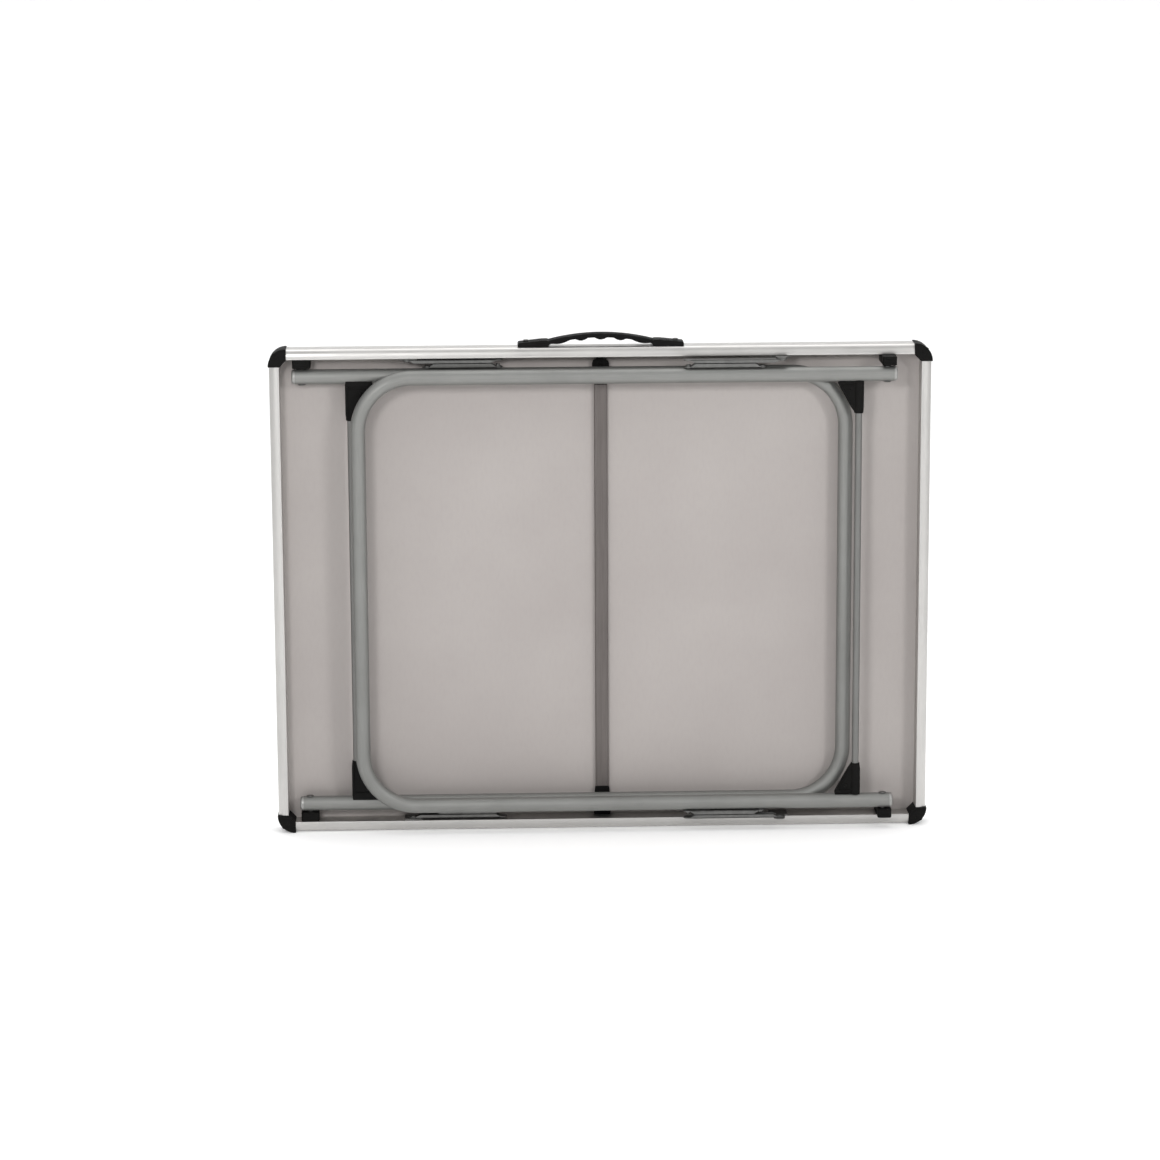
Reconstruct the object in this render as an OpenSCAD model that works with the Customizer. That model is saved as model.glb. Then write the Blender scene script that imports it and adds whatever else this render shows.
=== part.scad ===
// Folding camping table, folded flat and standing on its long edge.
// X runs along the long side, Z is up, and the underside with the legs faces -Y.
// The origin is at the bottom centre. A depth is measured from the table's top face towards -Y.
// Leg frame A hinges at the left end and lies nearest the board, B hinges at the right end over it.

/* [Table top] */
// Length over the corner caps
top_l = 800; // [790:5:810]
// Width over the corner caps
top_w = 600; // [560:5:640]
// Thickness of the board
board_t = 4; // [3.5:0.5:4]
// Thickness of the rim's lip, which the board's raised field is flush with
lip_t = 1; // [1:0.1:1.4]
// Width of the rim as seen from below
rim_w = 12.5; // [12.5:0.1:12.8]
// Depth of the rim
rim_h = 30; // [28:1:32]
// Wall of the rim's hollow section
rim_wall = 1.4; // [1.2:0.1:1.6]
// Diameter of the corner screws' heads
screw_head_d = 6; // [5:0.5:6.5]
// How far the rim stands back from the corner caps
rim_back = 1; // [0.8:0.1:1.2]
// Length of each arm of a corner cap
cap_l = 22; // [20:1:24]
// Outer radius of a corner cap
cap_r = 14; // [12:1:16]

/* [Centre bar] */
// Width of the stiffening bar under the board
bar_w = 16; // [14:1:17]
// Thickness of the stiffening bar
bar_t = 5.5; // [5:0.1:5.6]
// Length of each end socket of the bar
socket_l = 42; // [36:1:46]

/* [Leg frames] */
// Outer diameter of the leg tubes
tube_d = 18; // [17.5:0.1:18]
// Wall of the leg tubes
tube_wall = 1.2; // [1:0.1:1.5]
// Depth of the axis of frame A
depth_a = 21; // [21:0.1:22]
// Gap between the two layers of tubes
layer_gap = 0.6; // [0.5:0.1:1]
// Edge of the table to the axis of a side tube
side_in = 35; // [35:0.1:35.5]
// Left end of the table to the hinge of frame A
hinge_a_in = 40; // [39:0.5:40]
// Right end of the table to the hinge of frame B
hinge_b_in = 56; // [55:0.5:56]
// Hinge to foot bar on frame A
leg_a_l = 656; // [655:0.5:656]
// Radius of the bends at the foot, on the tube's axis
bend_r = 65; // [60:1:70]
// Hinge to the end of the joggle that lets frame A pass inside frame B
joggle_end = 348; // [344:1:348]
// Radius of the joggle's two arcs, on the tube's axis
joggle_r = 47; // [47:1:50]
// How far a leg tube reaches past its hinge
tail_l = 12; // [11:0.5:13]
// Diameter of the pivot bolts
bolt_d = 6; // [5:0.5:6]
// Angle at which frame A stands open
open_a = 88; // [87:0.5:88]
// Angle at which frame B stands open, ahead of frame A so that its foot bar passes outside A's
open_b = 92; // [92:0.5:93]

/* [Cross bars] */
// Diameter of the cross bars
cross_d = 8.5; // [8:0.5:9]
// Hinge to cross bar on frame A
cross_a = 58; // [55:1:60]
// Hinge to cross bar on frame B
cross_b = 34; // [33:0.5:34]
// Reach of a gusset along the cross bar
gusset_in = 46; // [40:1:48]
// Reach of a gusset along the side tube
gusset_l = 28; // [26:1:30]
// Thickness of a gusset
gusset_t = 14; // [12:1:15]

/* [Stays] */
// Hinge to a stay's rivet on the rim
stay_rim = 127; // [125:1:130]
// Hinge to a stay's rivet on the leg
stay_leg = 151; // [148:1:154]
// Height of a stay arm
arm_h = 12; // [10:1:13]
// Sheet thickness of the stay arms
sheet_t = 1.2; // [1:0.1:1.2]
// Diameter of the stay rivets
rivet_d = 5; // [4:0.5:5]

/* [Handle] */
// Overall length of the handle
handle_l = 200; // [190:1:210]
// Width of the handle's strap
strap_w = 22; // [18:1:24]
// Thickness of the strap
strap_t = 5.5; // [5:0.1:5.6]
// Height of the strap's top above the rim
handle_h = 15.5; // [15:0.5:17]
// Length of each end cap of the handle
handle_cap_l = 38; // [34:1:40]
// Height of the end caps above the rim
handle_cap_t = 7.8; // [7.8:0.1:8.4]

/* [Hidden] */
$fn = 48;
eps = 0.01;

// Clearances
run_fit = 0.05;
side_play = 0.3;

// Small screws
screw_d = 3;
screw_head_t = 1.2;
screw_l = 12;

// Places worked out from the driving dimensions
hinge_a = hinge_a_in - top_l / 2;
hinge_b = top_l / 2 - hinge_b_in;
depth_b = depth_a + tube_d + layer_gap;
leg_b_l = leg_a_l - (depth_b - depth_a);
thick = depth_b + tube_d / 2;
board_d = lip_t + board_t;
rim_in = rim_back + rim_w;
tube_out = side_in - tube_d / 2;
joggle_w = 0.4 * joggle_r;
joggle_l = 1.2 * joggle_r;
board_in = rim_back + 3;

// Stay arms: the two arms are in line when folded, and in line again when the leg stands open
function opened(leg) = leg == "a" ? open_a : open_b;
function stay_span(leg) = sqrt(pow(stay_rim, 2) + pow(stay_leg, 2)
    - 2 * stay_rim * stay_leg * cos(opened(leg)));
function elbow(leg) = (stay_rim + stay_leg + stay_span(leg)) / 2;

// Layers between the rim and a side tube, from the edge of the table
plate_t = 1.5;
rim_arm_w0 = rim_in + plate_t + 0.4;
rim_arm_w1 = rim_arm_w0 + 4.2;
leg_arm_w1 = tube_out - 0.6;
leg_arm_w0 = leg_arm_w1 - 5;
rivet_head_t = 1;
rivet_head_d = rivet_d + 3;
rivet_shoulder_d = rivet_d + 1;

black = [0.05, 0.05, 0.055];
alu = [0.84, 0.83, 0.82];
tube_grey = [0.6, 0.6, 0.59];
zinc = [0.68, 0.68, 0.66];

function layer(leg) = leg == "a" ? depth_a : depth_b;
function arc_y(x, half, sag) = sqrt(pow((half * half + sag * sag) / (2 * sag), 2) - x * x)
    - (half * half + sag * sag) / (2 * sag) + sag;

// Placing: children are drawn for the left end and the bottom edge
module at_depth(d) { translate([0, thick / 2 - d, 0]) children(); }
module from_edge(side) {
    if (side == "bottom") children();
    else translate([0, 0, top_w]) mirror([0, 0, 1]) children();
}
module from_hinge(leg) {
    if (leg == "a") translate([hinge_a, 0, 0]) children();
    else translate([hinge_b, 0, 0]) mirror([1, 0, 0]) children();
}
// A block between two corners given as x, depth and height
module block(x0, x1, d0, d1, z0, z1) {
    translate([x0, thick / 2 - d1, z0]) cube([x1 - x0, d1 - d0, z1 - z0]);
}
// A pin along Z
module pin(x, d, z0, z1, dia) {
    at_depth(d) translate([x, 0, z0]) cylinder(h = z1 - z0, d = dia);
}

// ---- Table top ----

module board() {
    field_in = rim_in + side_play;
    color([0.72, 0.7, 0.68]) difference() {
        union() {
            block(-top_l / 2 + board_in, top_l / 2 - board_in, lip_t, board_d, board_in, top_w - board_in);
            block(-top_l / 2 + field_in, top_l / 2 - field_in, 0, lip_t + 0.5, field_in, top_w - field_in);
        }
        for (x = [-top_l / 2, top_l / 2 - cap_l], z = [0, top_w - cap_l])
            block(x, x + cap_l, -1, board_d + 1, z, z + cap_l);
    }
}

// Hollow rim section with a groove for the board, drawn as distance from the edge and depth
module rim_section() {
    round_r = 4;
    difference() {
        union() {
            translate([rim_back, round_r]) square([rim_w, rim_h - 2 * round_r]);
            translate([rim_back + round_r, 0]) square([rim_w - round_r, rim_h]);
            for (d = [round_r, rim_h - round_r]) translate([rim_back + round_r, d]) circle(r = round_r);
        }
        translate([rim_back + rim_wall, board_d + rim_wall])
            square([rim_w - 2 * rim_wall, rim_h - board_d - 2 * rim_wall]);
        translate([board_in, lip_t]) square([rim_w, board_t]);
    }
}
module rim_long(side) {
    color(alu) from_edge(side) at_depth(0) translate([cap_l - top_l / 2, 0, 0])
        rotate([0, -90, 180]) linear_extrude(top_l - 2 * cap_l) rim_section();
}
module rim_short(side) {
    color(alu) mirror([side == "left" ? 0 : 1, 0, 0]) at_depth(0)
        translate([-top_l / 2, 0, top_w - cap_l])
        rotate([180, 0, 0]) linear_extrude(top_w - 2 * cap_l) rim_section();
}

// Corner cap: a rounded L with a pointed inner corner and a plug into each rim
module corner_cap(end, side) {
    arm_w = rim_in + 1;
    plug = rim_wall + 0.1;
    plug_l = 15;
    cap_h = rim_h + 1;
    color(black) mirror([end == "left" ? 0 : 1, 0, 0]) from_edge(side) difference() {
        translate([-top_l / 2, thick / 2, 0]) rotate([90, 0, 0]) union() {
            linear_extrude(cap_h) difference() {
                square(cap_l);
                difference() {
                    square(cap_r);
                    translate([cap_r, cap_r]) circle(r = cap_r);
                }
                polygon([[arm_w, cap_l + 1], [arm_w, cap_l], [cap_l, arm_w],
                    [cap_l + 1, arm_w], [cap_l + 1, cap_l + 1]]);
            }
            for (turn = [0, 1]) mirror([turn, -turn, 0])
                translate([cap_l - 1, rim_back + plug, board_d + plug])
                    cube([plug_l + 1, rim_w - 2 * plug, rim_h - board_d - 2 * plug]);
        }
        corner_screw_shape();
    }
}
module corner_screw_shape() {
    screw_in = 8;
    at_depth(rim_h + 1) translate([screw_in - top_l / 2, 0, screw_in]) rotate([-90, 0, 0]) {
        translate([0, 0, -eps]) cylinder(h = screw_head_t + eps, d = screw_head_d);
        cylinder(h = screw_l, d = screw_d);
    }
}
module corner_screws() {
    color(zinc) for (end = [0, 1], side = ["bottom", "top"])
        mirror([end, 0, 0]) from_edge(side) intersection() {
            corner_screw_shape();
            block(-top_l / 2, 0, 0, rim_h + 1, 0, cap_l);
        }
}

// ---- Centre bar ----

module bar_shape() {
    end_gap = 4;
    block(-bar_w / 2, bar_w / 2, board_d, board_d + bar_t, rim_in + end_gap, top_w - rim_in - end_gap);
}
module centre_bar() {
    bar_wall = 1.2;
    color([0.45, 0.42, 0.4]) difference() {
        bar_shape();
        block(bar_wall - bar_w / 2, bar_w / 2 - bar_wall, board_d - 1, board_d + bar_t - bar_wall, 0, top_w);
    }
}
module bar_socket(side) {
    socket_w = bar_w + 4.5;
    chamfer = 5;
    color(black) from_edge(side) difference() {
        block(-socket_w / 2, socket_w / 2, board_d, board_d + bar_t + 0.9, rim_in, rim_in + socket_l);
        bar_shape();
        for (x = [-1, 1]) translate([x * socket_w / 2, 0, rim_in + socket_l]) rotate([0, 45, 0])
            cube([chamfer, 2 * thick, chamfer], center = true);
    }
}

// ---- Hinges ----

// Block that stands between the rim and a side tube and carries the pivot bolt
module pivot_block(leg, side) {
    block_l = 22;
    block_r = 8;
    corner_r = 4;
    w0 = rim_in;
    w1 = tube_out - side_play;
    base_d = board_d + (leg == "a" ? corner_r : 0);
    color(black) from_hinge(leg) from_edge(side) difference() {
        translate([0, thick / 2, w0]) rotate([0, 0, 180]) linear_extrude(w1 - w0) union() {
            translate([-block_l / 2, base_d]) square([block_l, layer(leg) - base_d]);
            translate([0, layer(leg)]) circle(r = block_r);
            for (x = [-1, 1]) translate([x * (block_l / 2 - corner_r), layer(leg)]) circle(r = corner_r);
        }
        pin(0, layer(leg), w0 - 1, w1 + 1, bolt_d);
    }
}
module pivot_bolts(leg) {
    head_w = side_in + tube_d / 2 + side_play;
    head_t = 2.4;
    color(zinc) from_hinge(leg) for (side = ["bottom", "top"]) from_edge(side) union() {
        pin(0, layer(leg), rim_in + 1, head_w + 1, bolt_d);
        pin(0, layer(leg), head_w, head_w + head_t, bolt_d + 4);
        pin(0, layer(leg), head_w + head_t, head_w + head_t + 0.8, bolt_d + 1.5);
    }
}

// ---- Handle, on the top edge ----

arch_l = handle_l - 2 * handle_cap_l + 8;
arch_z = handle_h - strap_t / 2;
arch_foot = 4;
nub_pitch = 23;
grip_end = 49;
// Height of the strap's middle line above the rim
function strap_z(x) = abs(x) >= arch_l / 2 ? arch_foot
    : arch_foot + arc_y(x, arch_l / 2, arch_z - arch_foot);
// Finger nubs and the two thicker grip ends under the strap
function nub(x, at, reach, tall) = abs(x - at) < reach ? tall * cos(90 * (x - at) / reach) : 0;
function nubs(x) = nub(x, 0, 8, 2.6) + nub(x, nub_pitch, 8, 2.6) + nub(x, -nub_pitch, 8, 2.6)
    + nub(x, grip_end, 9, 3) + nub(x, -grip_end, 9, 3);
strap_end = arch_l / 2 + 14;
strap_x = [for (x = [-strap_end:2:strap_end]) x];

module on_rim(x0) { at_depth(rim_h / 2) translate([x0, 0, top_w - rim_back]) children(); }
module strap_profile() {
    polygon(concat(
        [for (x = strap_x) [x, strap_z(x) - strap_t / 2 - nubs(x)]],
        [for (i = [len(strap_x) - 1:-1:0]) [strap_x[i], strap_z(strap_x[i]) + strap_t / 2]]
    ));
}
module strap_solid() {
    on_rim(0) rotate([90, 0, 0]) translate([0, 0, -strap_w / 2]) linear_extrude(strap_w) strap_profile();
}
module handle_grip() { color(black) strap_solid(); }
module handle_cap(end) {
    cap_w = strap_w + 4;
    round_r = 6;
    bevel = 2;
    color(black) difference() {
        mirror([end == "left" ? 1 : 0, 0, 0]) on_rim(handle_l / 2 - handle_cap_l) rotate([90, 0, 0])
            translate([0, 0, -cap_w / 2]) linear_extrude(cap_w) difference() {
                union() {
                    square([handle_cap_l - round_r, handle_cap_t]);
                    square([handle_cap_l, handle_cap_t - round_r]);
                    translate([handle_cap_l - round_r, handle_cap_t - round_r]) circle(r = round_r);
                }
                polygon([[-1, handle_cap_t + 1], [-1, handle_cap_t - bevel], [3 * bevel, handle_cap_t + 1]]);
                translate([0, -round_r]) square([2 * handle_cap_l, round_r]);
            }
        strap_solid();
        handle_screw_shape(end);
    }
}
module handle_screw_shape(end) {
    screw_in = 10;
    mirror([end == "left" ? 1 : 0, 0, 0]) on_rim(handle_l / 2 - screw_in) {
        translate([0, 0, handle_cap_t - screw_head_t]) cylinder(h = screw_head_t, d = screw_head_d);
        cylinder(h = handle_cap_t - screw_head_t + eps, d = screw_d);
    }
}
module handle_screws() { color(zinc) for (end = ["left", "right"]) handle_screw_shape(end); }

// ---- Leg frames, drawn with the hinge at the origin, the foot along +X and the side tubes at +-Y ----

half_w = top_w / 2 - side_in;
tube_back = tail_l - 4;
module leg_frame_place(leg) {
    from_hinge(leg) at_depth(layer(leg)) translate([0, 0, top_w / 2]) rotate([90, 0, 0]) children();
}
module ring() {
    difference() {
        circle(d = tube_d);
        circle(d = tube_d - 2 * tube_wall);
    }
}
module straight(length) {
    rotate([90, 0, 90]) linear_extrude(length) ring();
    translate([length, 0, 0]) children();
}
// A bend to the right, in the plane, then whatever follows it
module bend_right(radius, angle) {
    translate([0, -radius, 0]) rotate([0, 0, 90 - angle]) rotate_extrude(angle = angle)
        translate([radius, 0]) ring();
    translate([0, -radius, 0]) rotate([0, 0, -angle]) translate([0, radius, 0]) children();
}

// A joggle to the right made of two equal arcs. Its angle is that of a 3-4-5 triangle, so both
// arcs meet on an exact plane.
module joggle_arc() {
    intersection() {
        rotate_extrude() translate([joggle_r, 0]) ring();
        translate([0, 0, -tube_d]) linear_extrude(2 * tube_d)
            polygon([[0, 0], [0, 2 * joggle_r], [1.5 * joggle_r, 2 * joggle_r]]);
    }
}
module joggle() {
    translate([0, -joggle_r, 0]) joggle_arc();
    translate([joggle_l, joggle_r - joggle_w, 0]) rotate([0, 0, 180]) joggle_arc();
    translate([joggle_l, -joggle_w, 0]) children();
}
// One side tube with half of the foot bar
module half_frame_a() {
    translate([-tube_back, half_w, 0]) straight(joggle_end - joggle_l + tube_back) joggle()
        straight(leg_a_l - bend_r - joggle_end) bend_right(bend_r, 90)
        straight(half_w - joggle_w - bend_r);
}
module half_frame_b() {
    translate([-tube_back, half_w, 0]) straight(leg_b_l - bend_r + tube_back) bend_right(bend_r, 90)
        straight(half_w - bend_r);
}
// Bores for the pivot bolt and the stay rivet through the upper side tube
module leg_bores() {
    rotate([-90, 0, 0]) cylinder(h = top_w / 2, d = bolt_d + 2 * run_fit);
    translate([stay_leg, half_w, 0]) rotate([-90, 0, 0]) cylinder(h = tube_d, d = rivet_d);
}
module leg_tube(leg) {
    color(tube_grey) leg_frame_place(leg) for (m = [0, 1]) mirror([0, m, 0]) difference() {
        if (leg == "a") half_frame_a(); else half_frame_b();
        leg_bores();
    }
}
module cross_bar(leg) {
    reach = half_w - tube_d / 2 - 1;
    color([0.5, 0.5, 0.49]) leg_frame_place(leg) translate([leg == "a" ? cross_a : cross_b, reach, 0])
        rotate([90, 0, 0]) difference() {
            cylinder(h = 2 * reach, d = cross_d);
            translate([0, 0, -1]) cylinder(h = 2 * reach + 2, d = cross_d - 2);
        }
}
// Corner block that joins a cross bar to a side tube
module gusset(leg, side) {
    back = 6;
    inner = half_w - tube_d / 2;
    color(black) leg_frame_place(leg) mirror([0, side == "top" ? 0 : 1, 0]) difference() {
        translate([leg == "a" ? cross_a : cross_b, 0, -gusset_t / 2]) linear_extrude(gusset_t)
            polygon([[-back, half_w], [gusset_l, half_w], [gusset_l, inner - 4], [gusset_l - 2, inner - 7],
                [back + 2, inner - gusset_in + 2], [back, inner - gusset_in], [-back, inner - gusset_in]]);
        translate([0, half_w, 0]) rotate([0, 90, 0]) cylinder(h = top_l / 2, d = tube_d);
        translate([leg == "a" ? cross_a : cross_b, inner - 1, 0])
            rotate([90, 0, 0]) cylinder(h = 2 * gusset_in, d = cross_d);
    }
}
// Plugs with a rounded rim that close the hinge ends of the side tubes
module end_plugs(leg) {
    plug_r = tube_d / 2 - tube_wall;
    cap_t = tail_l - tube_back;
    edge_r = cap_t - 1;
    color(tube_grey) leg_frame_place(leg) for (m = [0, 1]) mirror([0, m, 0])
        translate([-tube_back, half_w, 0]) rotate([0, -90, 0]) rotate_extrude() union() {
            translate([0, -cap_t]) square([plug_r, cap_t]);
            square([tube_d / 2 - edge_r, cap_t]);
            square([tube_d / 2, cap_t - edge_r]);
            intersection() {
                translate([tube_d / 2 - edge_r, cap_t - edge_r]) circle(r = edge_r);
                square([tube_d / 2, cap_t]);
            }
        }
}
module leg_stay_rivets(leg) {
    head_w = leg_arm_w1 - sheet_t - 0.3;
    color(zinc) from_hinge(leg) for (side = ["bottom", "top"]) from_edge(side) union() {
        pin(stay_leg, layer(leg), leg_arm_w1 - sheet_t - 0.5, tube_out + tube_wall, rivet_d);
        pin(stay_leg, layer(leg), head_w - rivet_head_t, head_w, rivet_head_d);
        pin(stay_leg, layer(leg), leg_arm_w1 + 0.15, tube_out, rivet_shoulder_d);
    }
}

// ---- Stays, two jointed arms in the gap between the rim and each side tube ----

// Plate on the rim that carries a stay
module stay_bracket(leg, side) {
    plate_w = 22;
    tip_r = 7;
    root_d = board_d + 1;
    end_d = rim_h - (leg == "a" ? 3 : 1);
    color(zinc) from_hinge(leg) from_edge(side) difference() {
        translate([stay_rim, thick / 2, rim_in]) rotate([0, 0, 180]) linear_extrude(plate_t) union() {
            translate([-plate_w / 2, root_d]) square([plate_w, end_d - root_d]);
            translate([-tip_r, root_d]) square([2 * tip_r, layer(leg) - root_d]);
            translate([0, layer(leg)]) circle(r = tip_r);
        }
        pin(stay_rim, layer(leg), rim_in - 1, rim_in + plate_t + 1, rivet_d);
    }
}
module stay_rim_rivets(leg) {
    head_w = rim_arm_w0 + sheet_t + 0.2;
    color(zinc) from_hinge(leg) for (side = ["bottom", "top"]) from_edge(side) union() {
        pin(stay_rim, layer(leg), rim_in, head_w + 0.5, rivet_d);
        pin(stay_rim, layer(leg), head_w, head_w + rivet_head_t, rivet_head_d);
        pin(stay_rim, layer(leg), rim_in + plate_t, rim_arm_w0 - 0.1, rivet_shoulder_d);
    }
}
// A pressed channel along X: a web with round ends and two flanges that taper towards the ends
module stay_arm(length, w0, w1, web_low) {
    web_w = web_low ? w0 : w1 - sheet_t;
    open_w = web_low ? w1 : w0;
    root_w = web_low ? w0 : w1;
    taper = 8;
    difference() {
        union() {
            translate([0, 0, web_w]) linear_extrude(sheet_t) union() {
                translate([0, -arm_h / 2]) square([length, arm_h]);
                circle(d = arm_h);
                translate([length, 0]) circle(d = arm_h);
            }
            for (y = [arm_h / 2, sheet_t - arm_h / 2])
                translate([0, y, 0]) rotate([90, 0, 0]) linear_extrude(sheet_t)
                    polygon([[0, root_w], [taper, open_w], [length - taper, open_w], [length, root_w]]);
        }
        translate([0, 0, w0 - 1]) cylinder(h = w1 - w0 + 2, d = rivet_d + 2 * run_fit);
    }
}
module rim_arm(leg, side) {
    arm_l = elbow(leg) - stay_rim;
    stub_h = 2.4;
    color(zinc) from_hinge(leg) from_edge(side) at_depth(layer(leg)) translate([stay_rim, 0, 0]) union() {
        stay_arm(arm_l, rim_arm_w0, rim_arm_w1, true);
        translate([arm_l, 0, rim_arm_w0 + sheet_t / 2]) cylinder(h = stub_h, d = rivet_d + 2);
    }
}
module leg_arm(leg, side) {
    arm_l = elbow(leg) - stay_leg;
    color(zinc) from_hinge(leg) from_edge(side) at_depth(layer(leg))
        translate([stay_leg, 0, 0]) difference() {
            stay_arm(arm_l, leg_arm_w0, leg_arm_w1, false);
            translate([arm_l, 0, 0]) cylinder(h = side_in, d = rivet_d);
        }
}
module elbow_rivet(leg, side) {
    color(zinc) from_hinge(leg) from_edge(side) union() {
        pin(elbow(leg), layer(leg), leg_arm_w0 + 1, leg_arm_w1, rivet_d);
        pin(elbow(leg), layer(leg), leg_arm_w1 - sheet_t - 1.2, leg_arm_w1 - sheet_t, rivet_head_d);
    }
}

// ---- Every node ----

board();
rim_long("top");  // rim_top
rim_long("bottom");  // rim_bottom
rim_short("left");  // rim_left
rim_short("right");  // rim_right
corner_cap("left", "top");  // corner_cap_tl
corner_cap("right", "top");  // corner_cap_tr
corner_cap("left", "bottom");  // corner_cap_bl
corner_cap("right", "bottom");  // corner_cap_br
corner_screws();
centre_bar();
bar_socket("top");  // bar_socket_top
bar_socket("bottom");  // bar_socket_bottom
pivot_block("a", "top");  // pivot_block_a_top
pivot_block("a", "bottom");  // pivot_block_a_bottom
pivot_block("b", "top");  // pivot_block_b_top
pivot_block("b", "bottom");  // pivot_block_b_bottom
pivot_bolts("a");  // pivot_bolts_a
pivot_bolts("b");  // pivot_bolts_b
stay_bracket("a", "top");  // stay_bracket_a_top
stay_bracket("a", "bottom");  // stay_bracket_a_bottom
stay_bracket("b", "top");  // stay_bracket_b_top
stay_bracket("b", "bottom");  // stay_bracket_b_bottom
stay_rim_rivets("a");  // stay_rim_rivets_a
stay_rim_rivets("b");  // stay_rim_rivets_b
handle_grip();
handle_cap("left");  // handle_cap_left
handle_cap("right");  // handle_cap_right
handle_screws();
leg_tube("a");  // leg_a_tube
cross_bar("a");  // leg_a_cross_bar
gusset("a", "top");  // leg_a_gusset_top
gusset("a", "bottom");  // leg_a_gusset_bottom
end_plugs("a");  // leg_a_end_plugs
leg_stay_rivets("a");  // leg_a_stay_rivets
leg_tube("b");  // leg_b_tube
cross_bar("b");  // leg_b_cross_bar
gusset("b", "top");  // leg_b_gusset_top
gusset("b", "bottom");  // leg_b_gusset_bottom
end_plugs("b");  // leg_b_end_plugs
leg_stay_rivets("b");  // leg_b_stay_rivets
rim_arm("a", "top");  // rim_arm_a_top
rim_arm("a", "bottom");  // rim_arm_a_bottom
rim_arm("b", "top");  // rim_arm_b_top
rim_arm("b", "bottom");  // rim_arm_b_bottom
leg_arm("a", "top");  // leg_arm_a_top
leg_arm("a", "bottom");  // leg_arm_a_bottom
leg_arm("b", "top");  // leg_arm_b_top
leg_arm("b", "bottom");  // leg_arm_b_bottom
elbow_rivet("a", "top");  // elbow_rivet_a_top
elbow_rivet("a", "bottom");  // elbow_rivet_a_bottom
elbow_rivet("b", "top");  // elbow_rivet_b_top
elbow_rivet("b", "bottom");  // elbow_rivet_b_bottom
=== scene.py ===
"""The folding table's looks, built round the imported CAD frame. Metres, in the CAD's own frame.

X runs along the long side, Z is up, and the underside with the legs faces -Y. Places across the table
are given as e, the distance from its outer edge, and as a depth, measured from the top face to -Y.
"""
import math

import bmesh
import bpy
from mathutils import Matrix, Vector


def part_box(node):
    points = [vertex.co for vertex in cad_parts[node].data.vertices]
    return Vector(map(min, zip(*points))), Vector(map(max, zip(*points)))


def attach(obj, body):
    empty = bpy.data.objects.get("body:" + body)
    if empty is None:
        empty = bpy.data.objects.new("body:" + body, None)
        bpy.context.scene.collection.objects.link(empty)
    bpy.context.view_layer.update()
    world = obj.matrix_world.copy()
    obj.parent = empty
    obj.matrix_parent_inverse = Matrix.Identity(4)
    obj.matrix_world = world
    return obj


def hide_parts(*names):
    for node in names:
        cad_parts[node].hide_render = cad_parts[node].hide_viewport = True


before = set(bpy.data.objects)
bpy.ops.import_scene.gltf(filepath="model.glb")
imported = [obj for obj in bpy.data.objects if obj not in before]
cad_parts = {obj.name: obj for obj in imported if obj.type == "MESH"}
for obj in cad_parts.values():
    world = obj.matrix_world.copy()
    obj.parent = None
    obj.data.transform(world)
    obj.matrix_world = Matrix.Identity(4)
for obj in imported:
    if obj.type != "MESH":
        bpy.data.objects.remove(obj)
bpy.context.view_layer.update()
MM = 0.001
TAU = 2 * math.pi

# ---- Places taken from the frame ----

FACE_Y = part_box("board")[1][1]
LEFT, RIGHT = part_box("corner_cap_bl")[0][0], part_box("corner_cap_br")[1][0]
BOTTOM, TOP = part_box("corner_cap_bl")[0][2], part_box("corner_cap_tl")[1][2]
WIDTH = TOP - BOTTOM
MID_Z = (BOTTOM + TOP) / 2
# Length of a corner cap's arms, without the plugs that reach on inside the rims
PLUG_L = 15 * MM
CAP_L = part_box("corner_cap_bl")[1][2] - BOTTOM - PLUG_L
# From the table's outer edge to the inner side of the corner caps
RIM_IN = 14 * MM

# Leg tubes: radius, length behind the hinge, radius of the bends, and place in from the table's edge
TUBE_R = 9 * MM
TUBE_BACK = 8 * MM
BEND_R = 65 * MM
SIDE_IN = 35 * MM
HALF_W = WIDTH / 2 - SIDE_IN


def centre(node):
    """Middle of a CAD node's box."""
    lo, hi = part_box(node)
    return [(a + b) / 2 for a, b in zip(lo, hi)]


def depth_to_y(depth):
    return FACE_Y - depth


class Leg:
    """Where one leg frame is: its layer, its hinge, and the way from the hinge to the foot."""

    def __init__(self, name, way):
        self.name = name
        self.way = way
        tube_lo, tube_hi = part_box(f"leg_{name}_tube")
        self.y = (tube_lo[1] + tube_hi[1]) / 2
        self.depth = FACE_Y - self.y
        start = tube_lo[0] if way > 0 else tube_hi[0]
        foot = tube_hi[0] if way > 0 else tube_lo[0]
        self.hinge_x = start + way * TUBE_BACK
        self.length = abs(foot - self.hinge_x) - TUBE_R
        self.cross_x = centre(f"leg_{name}_cross_bar")[0]


LEGS = {"a": Leg("a", 1), "b": Leg("b", -1)}


# ---- Materials ----

def new_material(name):
    """A material with its nodes, its links and its shader."""
    mat = bpy.data.materials.new(name)
    mat.use_nodes = True
    return mat, mat.node_tree.nodes, mat.node_tree.links, mat.node_tree.nodes["Principled BSDF"]


def ramp(nodes, low, high, low_at=0.3, high_at=0.7):
    """A colour ramp from low to high."""
    node = nodes.new("ShaderNodeValToRGB")
    node.color_ramp.elements[0].position = low_at
    node.color_ramp.elements[1].position = high_at
    node.color_ramp.elements[0].color = (*low, 1)
    node.color_ramp.elements[1].color = (*high, 1)
    return node


def grey(value):
    return (value, value, value)


def scaled(colour, factor):
    return tuple(min(1.0, c * factor) for c in colour)


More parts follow.
